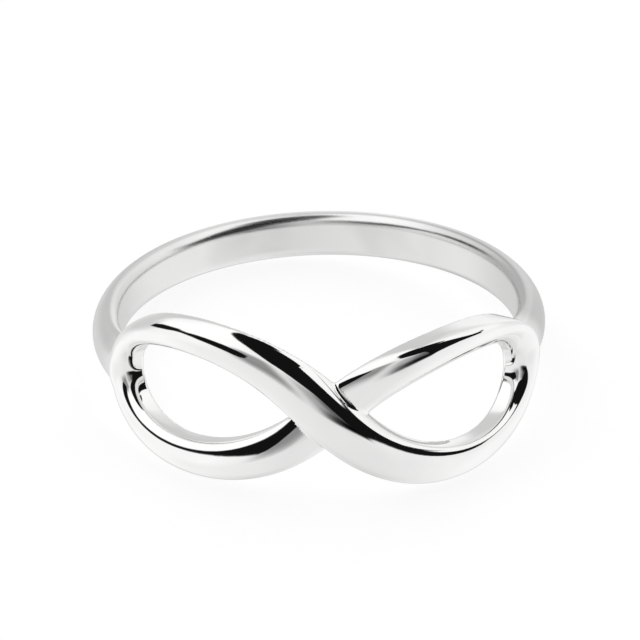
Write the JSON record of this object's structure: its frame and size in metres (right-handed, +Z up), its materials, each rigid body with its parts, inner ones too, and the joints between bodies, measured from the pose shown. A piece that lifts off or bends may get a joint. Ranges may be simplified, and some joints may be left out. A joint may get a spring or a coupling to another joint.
{
  "type": "finger ring",
  "caption": "Polished silver finger ring: a plain half-round band whose front opens into a figure of eight with one strand crossing over the other.",
  "frame": {"origin": "on the surface that the ring lies on, under the centre of its bounding box", "axes": "+Z up from the surface that the ring lies on, close to the finger's direction; -Y towards the figure of eight at the front; +X to the right of someone who looks at the front"},
  "size_m": [0.0198, 0.0196, 0.0072],
  "materials": {
    "silver": "polished"
  },
  "bodies": {
    "root": {"ring": "silver"}
  },
  "joints": []
}
